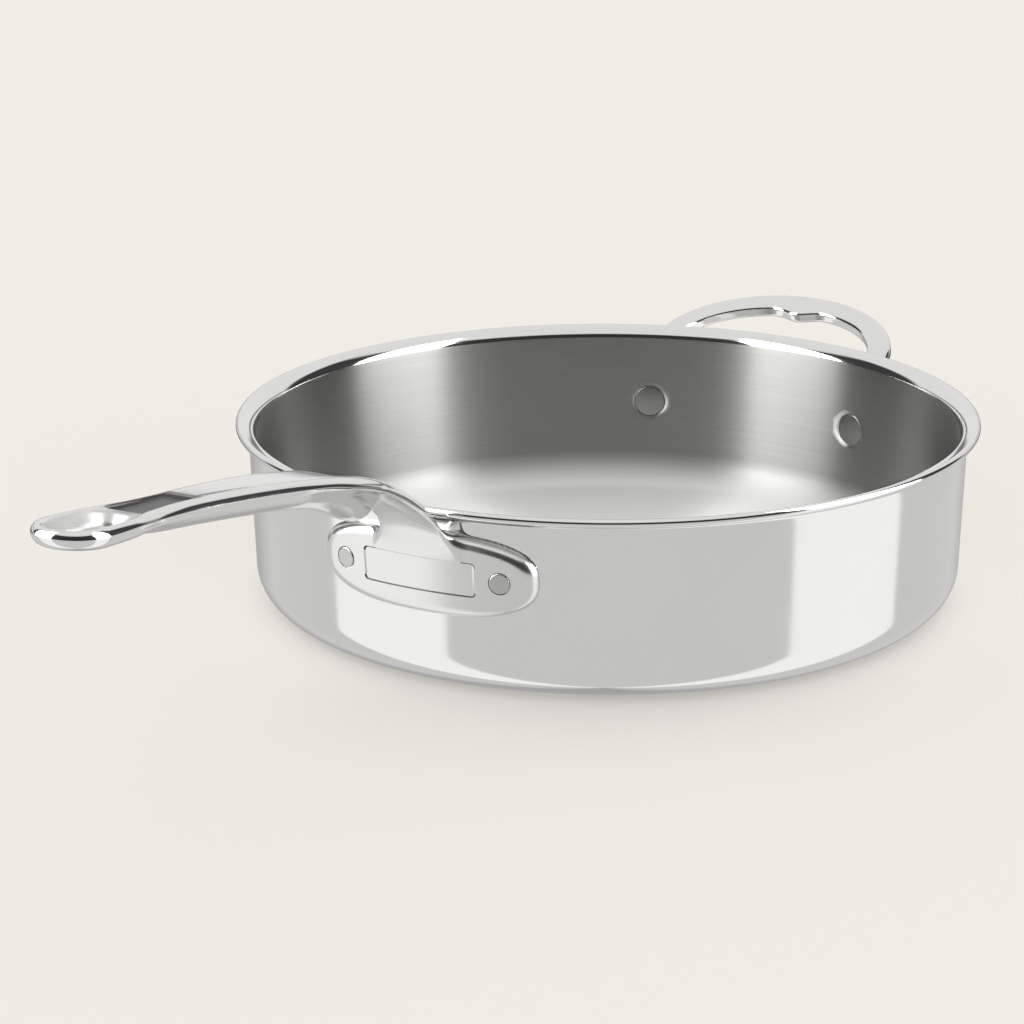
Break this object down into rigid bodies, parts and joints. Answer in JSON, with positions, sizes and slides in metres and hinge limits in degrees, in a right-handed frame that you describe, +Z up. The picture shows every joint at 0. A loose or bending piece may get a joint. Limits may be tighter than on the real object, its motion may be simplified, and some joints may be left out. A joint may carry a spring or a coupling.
{
  "type": "saute pan",
  "caption": "Straight-sided clad steel saute pan with a flared pouring lip, a riveted cast long handle with a hanging eye, and a looped helper handle.",
  "frame": {"origin": "centre of the flat base, on the surface that the pan stands on", "axes": "+X along the long handle, +Z up, the helper handle at -X"},
  "size_m": [0.523, 0.28, 0.1156],
  "materials": {
    "brushed_liner": "brushed around the wall, polished at the lip",
    "core_aluminium": "plain, sealed inside the wall",
    "polished_skin": "mirror polished stainless steel",
    "polished_casting": "hand polished cast stainless steel",
    "rivet_steel": "satin flush heads"
  },
  "bodies": {
    "root": {"inner_liner": "brushed_liner", "heat_core": "core_aluminium", "outer_skin": "polished_skin", "long_handle": "polished_casting", "helper_handle": "polished_casting", "long_handle_rivet_left": "rivet_steel", "long_handle_rivet_right": "rivet_steel", "helper_rivet_left": "rivet_steel", "helper_rivet_right": "rivet_steel"}
  },
  "joints": []
}
